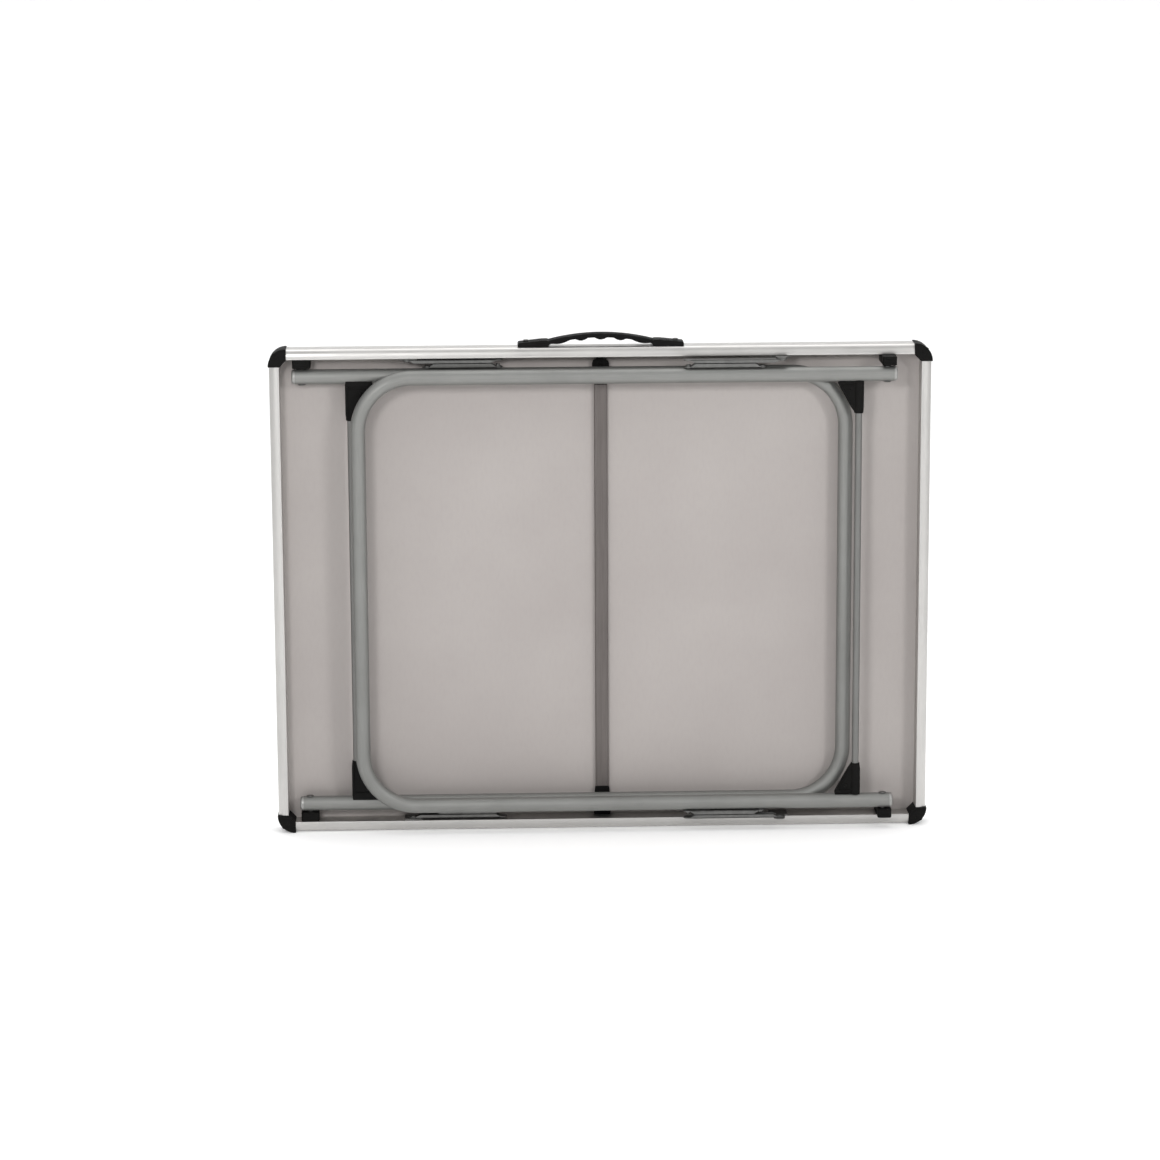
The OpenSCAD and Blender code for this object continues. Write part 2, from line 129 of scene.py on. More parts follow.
def noise(nodes, links, vector, scale, detail, stretch=(1, 1, 1)):
    """Noise over a vector, drawn out by stretch."""
    mapping = nodes.new("ShaderNodeMapping")
    mapping.inputs["Scale"].default_value = stretch
    links.new(vector, mapping.inputs["Vector"])
    node = nodes.new("ShaderNodeTexNoise")
    node.inputs["Scale"].default_value = scale
    node.inputs["Detail"].default_value = detail
    links.new(mapping.outputs["Vector"], node.inputs["Vector"])
    return node.outputs["Fac"]


def add_bump(nodes, links, shader, heights):
    """Chain of bumps: each height is (output, strength, distance in metres)."""
    last = None
    for output, strength, distance in heights:
        bump = nodes.new("ShaderNodeBump")
        bump.inputs["Strength"].default_value = strength
        bump.inputs["Distance"].default_value = distance
        links.new(output, bump.inputs["Height"])
        if last is not None:
            links.new(last.outputs["Normal"], bump.inputs["Normal"])
        last = bump
    links.new(last.outputs["Normal"], shader.inputs["Normal"])


def mix_colours(nodes, links, factor, a, b):
    """a where factor is 0 and b where it is 1. Each of a and b is an output or a colour."""
    node = nodes.new("ShaderNodeMix")
    node.data_type = "RGBA"
    links.new(factor, node.inputs["Factor"])
    for value, socket in ((a, node.inputs[6]), (b, node.inputs[7])):
        if isinstance(value, tuple):
            socket.default_value = (*value, 1)
        else:
            links.new(value, socket)
    return node.outputs[2]


def metal(name, colour, rough, streak=(1, 1, 1), vector="Object", streak_scale=900, spread=0.06,
          metallic=1.0, marks=0.12):
    """Drawn or plated metal: fine streaks, cloudy tone, and a few dull handling marks."""
    cloud_scale, grain_scale = 14, 2400
    streak_depth, grain_depth = 0.04 * MM, 0.03 * MM
    mark_colour = scaled(colour, 0.6)
    mat, nodes, links, shader = new_material(name)
    place = nodes.new("ShaderNodeTexCoord").outputs[vector]
    streaks = noise(nodes, links, place, streak_scale, 3, streak)
    clouds = noise(nodes, links, place, cloud_scale, 3)
    grain = noise(nodes, links, place, grain_scale, 2)
    tone = ramp(nodes, scaled(colour, 1 - spread), scaled(colour, 1 + spread))
    links.new(streaks, tone.inputs["Fac"])
    dull = ramp(nodes, grey(0), grey(marks), 0.5, 0.72)
    links.new(clouds, dull.inputs["Fac"])
    marked = mix_colours(nodes, links, dull.outputs["Color"], tone.outputs["Color"], mark_colour)
    links.new(marked, shader.inputs["Base Color"])
    gloss = ramp(nodes, grey(rough - 0.05), grey(rough + 0.09))
    links.new(clouds, gloss.inputs["Fac"])
    links.new(gloss.outputs["Color"], shader.inputs["Roughness"])
    shader.inputs["Metallic"].default_value = metallic
    add_bump(nodes, links, shader, [(streaks, 0.25, streak_depth), (grain, 0.12, grain_depth)])
    return mat


def plastic(name, colour, rough, grain_scale=2600, grain_depth=0.05 * MM):
    """Moulded black plastic: a fine spark-eroded grain, faint flow clouds and dust-grey handling wear."""
    cloud_scale, scuff_scale, scuff_depth = 38, 420, 0.05 * MM
    dust = grey(0.022)
    mat, nodes, links, shader = new_material(name)
    place = nodes.new("ShaderNodeTexCoord").outputs["Object"]
    grain = noise(nodes, links, place, grain_scale, 2)
    clouds = noise(nodes, links, place, cloud_scale, 4)
    scuffs = noise(nodes, links, place, scuff_scale, 6, (1, 1, 5))
    tone = ramp(nodes, scaled(colour, 0.8), scaled(colour, 1.35))
    links.new(clouds, tone.inputs["Fac"])
    worn = ramp(nodes, grey(0), grey(0.18), 0.62, 0.74)
    links.new(scuffs, worn.inputs["Fac"])
    dusty = mix_colours(nodes, links, worn.outputs["Color"], tone.outputs["Color"], dust)
    links.new(dusty, shader.inputs["Base Color"])
    gloss = ramp(nodes, grey(rough - 0.07), grey(rough + 0.1))
    links.new(clouds, gloss.inputs["Fac"])
    links.new(gloss.outputs["Color"], shader.inputs["Roughness"])
    shader.inputs["Specular IOR Level"].default_value = 0.1
    add_bump(nodes, links, shader, [(grain, 0.5, grain_depth), (scuffs, 0.08, scuff_depth)])
    return mat


def laminate(name):
    """Melamine board: a paler speckled face on top, and an underside in a darker warm grey that is painted
    shade.
    """
    under_shade_dark, under_shade_light, fleck = (0.372, 0.342, 0.329), (0.409, 0.379, 0.364), (0.33, 0.3, 0.287)
    face_dark, face_light, spot = (0.66, 0.65, 0.63), (0.72, 0.71, 0.69), (0.5, 0.49, 0.475)
    face_thick = 1.2 * MM
    cloud_scale, fibre_scale, pore_scale, speckle_scale = 5, 260, 1500, 620
    fibre_depth, pore_depth = 0.05 * MM, 0.04 * MM
    mat, nodes, links, shader = new_material(name)
    place = nodes.new("ShaderNodeTexCoord").outputs["Object"]
    split = nodes.new("ShaderNodeSeparateXYZ")
    links.new(place, split.inputs["Vector"])
    on_top = nodes.new("ShaderNodeMath")
    on_top.operation = "GREATER_THAN"
    on_top.inputs[1].default_value = FACE_Y - face_thick
    links.new(split.outputs["Y"], on_top.inputs[0])

    clouds = noise(nodes, links, place, cloud_scale, 3)
    fibre = noise(nodes, links, place, fibre_scale, 5, (1, 1, 0.35))
    pores = noise(nodes, links, place, pore_scale, 2)
    # The underside's darker warm grey is painted shade; its flecks are the board's own fibre
    back = ramp(nodes, under_shade_dark, under_shade_light)
    links.new(clouds, back.inputs["Fac"])
    flecked = ramp(nodes, grey(0), grey(0.14), 0.45, 0.75)
    links.new(fibre, flecked.inputs["Fac"])
    painted_shade_underside = mix_colours(nodes, links, flecked.outputs["Color"], back.outputs["Color"], fleck)

    speckle = nodes.new("ShaderNodeTexVoronoi")
    speckle.inputs["Scale"].default_value = speckle_scale
    links.new(place, speckle.inputs["Vector"])
    spots = ramp(nodes, grey(1), grey(0), 0.1, 0.24)
    links.new(speckle.outputs["Distance"], spots.inputs["Fac"])
    pale = ramp(nodes, face_dark, face_light)
    links.new(clouds, pale.inputs["Fac"])
    face = mix_colours(nodes, links, spots.outputs["Color"], pale.outputs["Color"], spot)

    links.new(mix_colours(nodes, links, on_top.outputs[0], painted_shade_underside, face), shader.inputs["Base Color"])
    gloss = ramp(nodes, grey(0.5), grey(0.62))
    links.new(fibre, gloss.inputs["Fac"])
    links.new(gloss.outputs["Color"], shader.inputs["Roughness"])
    shader.inputs["Specular IOR Level"].default_value = 0.3
    add_bump(nodes, links, shader, [(fibre, 0.15, fibre_depth), (pores, 0.12, pore_depth)])
    return mat


# Which way the streaks of drawn metal run: along X, along Z, or along a tube by its UV
ALONG_X, ALONG_Z, ALONG_RUN = (0.02, 1, 1), (1, 1, 0.02), (1, 0.02, 1)
# Colours of the metals
RIM = (0.56, 0.55, 0.535)
TUBE = (0.248, 0.25, 0.24)
# End caps: lighter than the tube, a painted highlight for the bright ring at each tube end
END_CAP_HIGHLIGHT = (0.33, 0.33, 0.32)
# Cross bars: the tube's anodised grey made darker, as painted shade for bars that lie in the other frame's
# shadow
CROSS_IN_SHADE = (0.19, 0.19, 0.183)
BAR = (0.138, 0.123, 0.117)
RIM_X = metal("rim_along_x", RIM, 0.4, ALONG_X, streak_scale=3200, spread=0.04, marks=0.08)
RIM_Z = metal("rim_along_z", RIM, 0.4, ALONG_Z, streak_scale=3200, spread=0.04, marks=0.08)
TUBE_METAL = metal("tube_anodised", TUBE, 0.53, ALONG_RUN, "UV", 1800, metallic=0.75)
END_CAP_HIGHLIGHT_METAL = metal("tube_end_cut", END_CAP_HIGHLIGHT, 0.42, metallic=0.75)
SHADED_CROSS_METAL = metal("cross_bar_anodised", CROSS_IN_SHADE, 0.46, ALONG_RUN, "UV", 700, metallic=0.75)
BAR_METAL = metal("bar_brushed", BAR, 0.5, ALONG_Z, spread=0.1, metallic=0.7)
ZINC = metal("zinc_plate", (0.175, 0.175, 0.17), 0.46, streak_scale=160, spread=0.12)
ZINC_DARK = metal("zinc_bracket", (0.14, 0.14, 0.136), 0.48, streak_scale=160, spread=0.12)
NYLON = plastic("black_nylon", (0.0042, 0.004, 0.0037), 0.58)
GRIP = plastic("grip_rubber", (0.0038, 0.0038, 0.004), 0.66, 1500, 0.12 * MM)
LAMINATE = laminate("board_laminate")


# ---- Mesh building ----

def place_in(mesh_name, solid, mat, body, nodes, bevel=None, sharp=35):
    """Turn a bmesh into a piece that rides on body and stands for CAD nodes."""
    bmesh.ops.recalc_face_normals(solid, faces=solid.faces)
    mesh = bpy.data.meshes.new(mesh_name)
    solid.to_mesh(mesh)
    solid.free()
    for face in mesh.polygons:
        face.use_smooth = True
    mesh.set_sharp_from_angle(angle=math.radians(sharp))
    mesh.materials.append(mat)
    piece = bpy.data.objects.new(mesh_name, mesh)
    bpy.context.scene.collection.objects.link(piece)
    if bevel:
        modifier = piece.modifiers.new("bevel", "BEVEL")
        modifier.width = bevel
        modifier.segments = 3
        modifier.limit_method = "ANGLE"
        modifier.angle_limit = math.radians(sharp)
        modifier.harden_normals = True
    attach(piece, body)
    if nodes:
        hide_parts(*nodes)


def prism(solid, outline, low, high, to_world):
    """A closed solid: the outline (u, v) drawn out from w = low to w = high, placed by to_world."""
    rings = [[solid.verts.new(to_world(u, v, w)) for u, v in outline] for w in (low, high)]
    count = len(outline)
    for i in range(count):
        j = (i + 1) % count
        solid.faces.new((rings[0][i], rings[0][j], rings[1][j], rings[1][i]))
    solid.faces.new(rings[0][::-1])
    solid.faces.new(rings[1])


def bridge(solid, a, b):
    """Faces between two rings with the same number of corners."""
    for i in range(len(a)):
        j = (i + 1) % len(a)
        solid.faces.new((a[i], b[i], b[j], a[j]))


def lathe(solid, profile, origin, axis, steps=40):
    """A solid turned about axis: profile is (radius, height), from the axis out and back."""
    on_axis = 1e-7
    turn = Vector((0, 0, 1)).rotation_difference(Vector(axis)).to_matrix()
    base = Vector(origin)
    rings = []
    for radius, height in profile:
        angles = [0.0] if radius < on_axis else [TAU * i / steps for i in range(steps)]
        ring = [Vector((radius * math.cos(angle), radius * math.sin(angle), height)) for angle in angles]
        rings.append([solid.verts.new(base + turn @ point) for point in ring])
    for a, b in zip(rings, rings[1:]):
        if len(a) == len(b):
            bridge(solid, a, b)
            continue
        for i in range(steps):
            j = (i + 1) % steps
            corners = (a[0], b[i], b[j]) if len(a) == 1 else (a[i], b[0], a[j])
            solid.faces.new(corners)


def dome(radius, height, steps=6):
    """Profile of a rivet head from its rim to its crown."""
    return [(radius * math.cos(math.pi / 2 * i / steps), height * math.sin(math.pi / 2 * i / steps))
            for i in range(steps + 1)]


def domed_head(solid, radius, tall, at, axis, steps=40):
    """The head of a screw or rivet, flat underneath."""
    lathe(solid, [(0, 0), (radius, 0), *dome(radius, tall)], at, axis, steps)


def arc(cx, cy, radius, start, end, steps):
    """Points along an arc, angles in degrees."""
    return [(cx + radius * math.cos(math.radians(start + (end - start) * i / steps)),
             cy + radius * math.sin(math.radians(start + (end - start) * i / steps)))
            for i in range(steps + 1)]


def ring_tube(solid, path, normal, radius, wall, steps):
    """A tube with open bore along a path that lies in one plane, with a UV of girth and run."""
    uv = solid.loops.layers.uv.new("UVMap")
    normal = Vector(normal)
    outer, inner, runs = [], [], []
    turns = [TAU * k / steps for k in range(steps)]
    run = 0.0
    for i, point in enumerate(path):
        ahead = path[min(i + 1, len(path) - 1)] - path[max(i - 1, 0)]
        side = ahead.normalized().cross(normal)
        run += (point - path[i - 1]).length if i else 0.0
        runs.append(run)
        for ring, r in ((outer, radius), (inner, radius - wall)):
            ring.append([solid.verts.new(point + side * (r * math.cos(turn)) + normal * (r * math.sin(turn)))
                         for turn in turns])
    girth = TAU * radius

    def quad(a, b, c, d, k, run_a, run_b):
        """One face with its UV: k counts round the girth, and the runs are those of its two rings."""
        face = solid.faces.new((a, b, c, d))
        for loop, (g, at) in zip(face.loops, ((k, run_a), (k + 1, run_a), (k + 1, run_b), (k, run_b))):
            loop[uv].uv = (girth * g / steps, at)

    for i in range(len(path) - 1):
        for k in range(steps):
            n = (k + 1) % steps
            quad(outer[i][k], outer[i][n], outer[i + 1][n], outer[i + 1][k], k, runs[i], runs[i + 1])
            quad(inner[i][n], inner[i][k], inner[i + 1][k], inner[i + 1][n], k, runs[i], runs[i + 1])
    for i in (0, -1):
        for k in range(steps):
            n = (k + 1) % steps
            quad(outer[i][k], outer[i][n], inner[i][n], inner[i][k], k, runs[i], runs[i])


# ---- Board and rim ----

def rim_profile():
    """Section of the rim as (e, depth), from the top face round the outside, underneath and back.

    The outside has a fine groove, the underside is a bullnose, and a slot inside takes the board's edge.
    """
    depth, wide, back = 30 * MM, 12.5 * MM, 1 * MM
    top_r, nose_r, nose_d = 4 * MM, 10 * MM, 6.5 * MM
    groove, groove_half, groove_flat, groove_deep = 9 * MM, 0.4 * MM, 0.2 * MM, 0.14 * MM
    slot_near, slot_far, slot_deep = 1 * MM, 5 * MM, 9.5 * MM
    under_r, lip_r = 0.8 * MM, 0.5 * MM
    inner = back + wide

    points = arc(back + top_r, top_r, top_r, 270, 180, 8)
    points += [(back, groove - groove_half), (back + groove_deep, groove - groove_flat),
               (back + groove_deep, groove + groove_flat), (back, groove + groove_half)]
    for degrees in range(0, 91, 6):
        turn = math.radians(degrees)
        points.append((back + nose_r * (1 - math.cos(turn)), depth - nose_d + nose_d * math.sin(turn)))
    points += arc(inner - under_r, depth - under_r, under_r, 90, 0, 4)
    points += [(inner, slot_far), (inner - slot_deep, slot_far), (inner - slot_deep, slot_near),
               (inner, slot_near)]
    points += arc(inner - lip_r, lip_r, lip_r, 0, -90, 3)
    return points


def add_rims():
    """Four extrusions, each a little way into the corner caps at both ends."""
    profile = rim_profile()
    overlap = 0.2 * MM
    start = CAP_L - overlap
    for side, sign, edge in (("bottom", 1, BOTTOM), ("top", -1, TOP)):
        solid = bmesh.new()
        prism(solid, profile, LEFT + start, RIGHT - start,
              lambda e, d, w, s=sign, z=edge: (w, depth_to_y(d), z + s * e))
        place_in(f"rim_profile_{side}", solid, RIM_X, "tabletop", [f"rim_{side}"])
    for side, sign, edge in (("left", 1, LEFT), ("right", -1, RIGHT)):
        solid = bmesh.new()
        prism(solid, profile, BOTTOM + start, TOP - start,
              lambda e, d, w, s=sign, x=edge: (x + s * e, depth_to_y(d), w))
        place_in(f"rim_profile_{side}", solid, RIM_Z, "tabletop", [f"rim_{side}"])


def corner_to_world(end, side):
    """Placement for one corner: u and v run in from its two outer edges, d is the depth."""
    x, way_x = (LEFT, 1) if end == "l" else (RIGHT, -1)
    z, way_z = (BOTTOM, 1) if side == "b" else (TOP, -1)
    return lambda u, v, d: (x + way_x * u, depth_to_y(d), z + way_z * v)


def add_corners():
    """Moulded caps, cut straight across inside the rims, with a raised panel and a black screw.

    The board's own corner shows in the angle of each cap, so a small piece of board fills it.
    """
    deep, outer_r = 31 * MM, 21.5 * MM
    board_near, board_far = 0.3 * MM, 5 * MM
    under = RIM_IN - 2 * MM
    past = CAP_L + 0.1 * MM
    margin, end_margin, side_margin, cut = 1.15 * MM, 3 * MM, 1.5 * MM, 0.4 * MM
    panel_root, panel_rise = 1.5 * MM, 0.5 * MM
    screw_at, screw_r, screw_tall, screw_sunk = 10.5 * MM, 2.9 * MM, 1 * MM, 0.3 * MM
    for end in "lr":
        for side in "bt":
            node = f"corner_cap_{side}{end}"
            to_world = corner_to_world(end, side)
            solid = bmesh.new()
            pie = arc(outer_r, outer_r, outer_r, 270, 180, 16)
            inner = [(0, CAP_L), (RIM_IN, CAP_L), (CAP_L, RIM_IN), (CAP_L, 0)]
            prism(solid, pie + inner, 0, deep, to_world)
            place_in(f"{node}_shell", solid, NYLON, "tabletop", [node], bevel=0.9 * MM)

            solid = bmesh.new()
            prism(solid, [(under, past), (past, past), (past, under)], board_near, board_far, to_world)
            place_in(f"{node}_board_corner", solid, LAMINATE, "tabletop", [])

            solid = bmesh.new()
            edge, inside = CAP_L - end_margin, RIM_IN - side_margin
            panel = arc(outer_r, outer_r, outer_r - margin, 262, 188, 14)
            panel += [(margin + cut, edge), (inside, edge), (edge, inside), (edge, margin + cut)]
            prism(solid, panel, deep - panel_root, deep + panel_rise, to_world)
            place_in(f"{node}_badge", solid, NYLON, "tabletop", [], bevel=0.4 * MM)

            solid = bmesh.new()
            head = Vector(to_world(screw_at, screw_at, deep + screw_sunk))
            domed_head(solid, screw_r, screw_tall, head, (0, -1, 0))
            place_in(f"corner_screw_{side}{end}", solid, NYLON, "tabletop", [])


# ---- Centre bar ----

def add_centre_bar():
    """A pressed channel with rounded shoulders and a shallow groove along its middle."""
    lo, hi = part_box("centre_bar")
    half = (hi[0] - lo[0]) / 2
    mid = (hi[0] + lo[0]) / 2
    tall = hi[1] - lo[1]
    round_r = 1.6 * MM
    groove_half, groove_flat, groove_deep = 3.6 * MM, 2.4 * MM, 0.35 * MM
    section = [(-half, 0), *arc(-half + round_r, tall - round_r, round_r, 180, 90, 5),
               (-groove_half, tall), (-groove_flat, tall - groove_deep),
               (groove_flat, tall - groove_deep), (groove_half, tall),
               *arc(half - round_r, tall - round_r, round_r, 90, 0, 5), (half, 0)]
    solid = bmesh.new()
    prism(solid, section, lo[2], hi[2], lambda u, v, w: (mid + u, hi[1] - v, w))
    place_in("centre_bar_channel", solid, BAR_METAL, "tabletop", ["centre_bar"])


def add_bar_sockets():
    """A moulded shoe over each end of the bar, with a round nose at the top, two ribs and a screw."""
    long, shoulder, end_half, end_cut = 36 * MM, 18 * MM, 8.6 * MM, 1.5 * MM
    tongue_half = 3.5 * MM
    rib_in, rib_w, rib_from, rib_to = 2.2 * MM, 1.2 * MM, 9 * MM, long - 8 * MM
    rib_root, rib_rise = 0.4 * MM, 0.7 * MM
    screw_at, screw_r, screw_tall, screw_sunk = 10 * MM, 2.6 * MM, 1.1 * MM, 0.1 * MM
    for side, sign in (("bottom", 1), ("top", -1)):
        lo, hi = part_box(f"bar_socket_{side}")
        half = (hi[0] - lo[0]) / 2
        mid = (hi[0] + lo[0]) / 2
        tall = hi[1] - lo[1]
        edge = lo[2] if sign > 0 else hi[2]
        nose_r, nose_at = (2 * MM, 0) if side == "bottom" else (8 * MM, 3.4 * MM)
        tongue = [(-tongue_half, nose_at), (-tongue_half, 0), (tongue_half, 0), (tongue_half, nose_at)]
        outline = [*arc(-half + nose_r, nose_at + nose_r, nose_r, 180, 262, 8),
                   *(tongue if nose_at else []),
                   *arc(half - nose_r, nose_at + nose_r, nose_r, 278, 360, 8),
                   (half, shoulder), (end_half, long - end_cut), (end_half - end_cut, long),
                   (end_cut - end_half, long), (-end_half, long - end_cut), (-half, shoulder)]

        def to_world(u, v, w, s=sign, z=edge, y=hi[1], x=mid):
            return (x + u, y - w, z + s * v)

        solid = bmesh.new()
        prism(solid, outline, 0, tall, to_world)
        place_in(f"bar_shoe_{side}", solid, NYLON, "tabletop",
                 [f"bar_socket_{side}"], bevel=1.1 * MM)
        solid = bmesh.new()
        for u in (-half + rib_in, half - rib_in - rib_w):
            rib = [(u, rib_from), (u + rib_w, rib_from), (u + rib_w, rib_to), (u, rib_to)]
            prism(solid, rib, tall - rib_root, tall + rib_rise, to_world)
        place_in(f"bar_shoe_ribs_{side}", solid, NYLON, "tabletop", [], bevel=0.3 * MM)
        solid = bmesh.new()
        domed_head(solid, screw_r, screw_tall, to_world(0, screw_at, tall - screw_sunk), (0, -1, 0))
        place_in(f"bar_shoe_screw_{side}", solid, NYLON, "tabletop", [])


# ---- Leg frames ----

def frame_path(leg):
    """Middle line of one leg frame, from the lower hinge end round the foot to the upper one."""
    half = [(-TUBE_BACK, HALF_W), ((leg.length - BEND_R) / 2, HALF_W)]
    half += arc(leg.length - BEND_R, HALF_W - BEND_R, BEND_R, 90, 0, 26)
    whole = half + [(s, -w) for s, w in reversed(half)]
    return [Vector((leg.hinge_x + leg.way * s, leg.y, MID_Z + w)) for s, w in whole]


def add_leg_tube(leg):
    """One bent tube, open at both hinge ends."""
    wall = 1.2 * MM
    solid = bmesh.new()
    ring_tube(solid, frame_path(leg), (0, 1, 0), TUBE_R, wall, steps=44)
    place_in(f"leg_{leg.name}_bent_tube", solid, TUBE_METAL, f"leg_{leg.name}",
             [f"leg_{leg.name}_tube"], sharp=50)


def add_end_plugs(leg):
    """Pressed caps at the hinge ends: a stub in the bore, a softly rounded edge and a dished end."""
    cap_l, round_r = 4 * MM, 2.6 * MM
    stub_l, stub_r, seat = 3.5 * MM, 7.7 * MM, 0.05 * MM
    dish_r, dish_flat_r, dish_deep = 3.5 * MM, 2.8 * MM, 0.5 * MM
    profile = [(0, -stub_l), (stub_r, -stub_l), (stub_r, seat), (TUBE_R, seat),
               *arc(TUBE_R - round_r, cap_l - round_r, round_r, 0, 90, 6),
               (dish_r, cap_l), (dish_flat_r, cap_l - dish_deep), (0, cap_l - dish_deep)]
    solid = bmesh.new()
    for w in (-HALF_W, HALF_W):
        at = Vector((leg.hinge_x - leg.way * TUBE_BACK, leg.y, MID_Z + w))
        lathe(solid, profile, at, (-leg.way, 0, 0), steps=44)
    # The caps' lighter grey is a painted highlight
    place_in(f"leg_{leg.name}_end_caps", solid, END_CAP_HIGHLIGHT_METAL, f"leg_{leg.name}",
             [f"leg_{leg.name}_end_plugs"])


def add_cross_bar(leg):
    """The thin straight tube between the two gussets."""
    lo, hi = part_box(f"leg_{leg.name}_cross_bar")
    radius = (hi[0] - lo[0]) / 2
    wall, spans = 1 * MM, 8
    path = [Vector((leg.cross_x, leg.y, lo[2] + (hi[2] - lo[2]) * i / spans)) for i in range(spans + 1)]
    solid = bmesh.new()
    ring_tube(solid, path, (0, 1, 0), radius, wall, steps=32)
    # The brace tube's darker metal is painted shade
    place_in(f"leg_{leg.name}_brace_tube", solid, SHADED_CROSS_METAL, f"leg_{leg.name}",
             [f"leg_{leg.name}_cross_bar"], sharp=50)


def gusset_ribs(back, ahead, reach, inner, rib):
    """Outlines of a gusset's three ribs: along its slope, along the cross bar and along the side tube."""
    slope_x, slope_z = ahead - back - 6 * MM, reach - 13 * MM
    length = math.hypot(slope_x, slope_z)
    off_x, off_z = slope_z / length * rib, -slope_x / length * rib
    a = (ahead - 3.5 * MM, inner - 6 * MM)
    b = (a[0] - slope_x, a[1] - slope_z)
    slope = [a, b, (b[0] - off_x, b[1] - off_z), (a[0] - off_x, a[1] - off_z)]
    left, near, far = -back + 1 * MM, inner - 3 * MM, inner - reach + 3 * MM
    upright = [(left, near), (left + rib, near), (left + rib, far), (left, far)]
    start, stop, at = -back + 3 * MM, ahead - 4 * MM, inner - 4 * MM
    level = [(start, at), (stop, at), (stop, at - rib), (start, at - rib)]
    return [slope, upright, level]


def add_gusset(leg, side):
    """A moulded corner: a ribbed web, a collar on the side tube, a sleeve over the cross bar and a rivet."""
    sign = 1 if side == "top" else -1
    body = f"leg_{leg.name}"
    node = f"{body}_gusset_{side}"
    inner = HALF_W - TUBE_R
    if leg.name == "a":
        reach, ahead, half_t, wrap = 44 * MM, 27 * MM, 7.4 * MM, 45
    else:
        reach, ahead, half_t, wrap = 38 * MM, 25 * MM, 3.6 * MM, 26
    back = 5.5 * MM
    tube_deep, toe, cut, nick = 3 * MM, 6 * MM, 1.5 * MM, 0.5 * MM
    heel, heel_up = 3 * MM, 5 * MM

    def to_world(u, v, w):
        return (leg.cross_x + leg.way * u, leg.y - w, MID_Z + sign * v)

    web = [(-back, HALF_W - tube_deep), (ahead, HALF_W - tube_deep), (ahead, inner - tube_deep),
           (ahead - cut, inner - toe), (back + heel, inner - reach + heel_up),
           (back - nick, inner - reach), (-back + nick, inner - reach), (-back, inner - reach + cut)]
    solid = bmesh.new()
    prism(solid, web, -half_t, half_t, to_world)
    place_in(f"{node}_web", solid, NYLON, body, [node], bevel=1.0 * MM)

    solid = bmesh.new()
    root, rise = 0.4 * MM, 1.2 * MM
    for outline in gusset_ribs(back, ahead, reach, inner, 1.6 * MM):
        prism(solid, outline, half_t - root, half_t + rise, to_world)
        prism(solid, outline, -half_t - rise, -half_t + root, to_world)
    place_in(f"{node}_ribs", solid, NYLON, body, [], bevel=0.35 * MM)

    # Collar: a strip that hugs the inner side of the side tube
    solid = bmesh.new()
    thick, gap = 1.5 * MM, 0.05 * MM
    hug = arc(0, 0, TUBE_R + thick, -90 - wrap, -90 + wrap, 14)
    hug += arc(0, 0, TUBE_R + gap, -90 + wrap, -90 - wrap, 14)

    def collar_to_world(p, q, w):
        return to_world(w, HALF_W + q, p)

    prism(solid, hug, -back, ahead, collar_to_world)
    place_in(f"{node}_collar", solid, NYLON, body, [], bevel=0.35 * MM)

    # Sleeve: a short pipe over the cross bar's end, narrowed at its mouth
    solid = bmesh.new()
    bore_r, sleeve_r, mouth_r = 4.35 * MM, 6.2 * MM, 5.4 * MM
    top, shoulder, mouth = inner + 0.5 * MM, reach - 6 * MM, reach + 1 * MM
    sleeve = [(bore_r, 0), (sleeve_r, 0), (sleeve_r, shoulder), (mouth_r, mouth), (bore_r, mouth),
              (bore_r, 0)]
    lathe(solid, sleeve, to_world(0, top, 0), (0, 0, -sign), steps=32)
    place_in(f"{node}_sleeve", solid, NYLON, body, [])

    solid = bmesh.new()
    rivet_r, rivet_tall, rivet_sunk = 2.6 * MM, 1.1 * MM, 0.1 * MM
    rivet_x, rivet_z = 12 * MM, inner - 11 * MM
    for face in (-1, 1):
        at = to_world(rivet_x, rivet_z, face * (half_t - rivet_sunk))
        domed_head(solid, rivet_r, rivet_tall, at, (0, -face, 0), steps=24)
    place_in(f"{node}_rivet", solid, NYLON, body, [])


# ---- Hinges ----

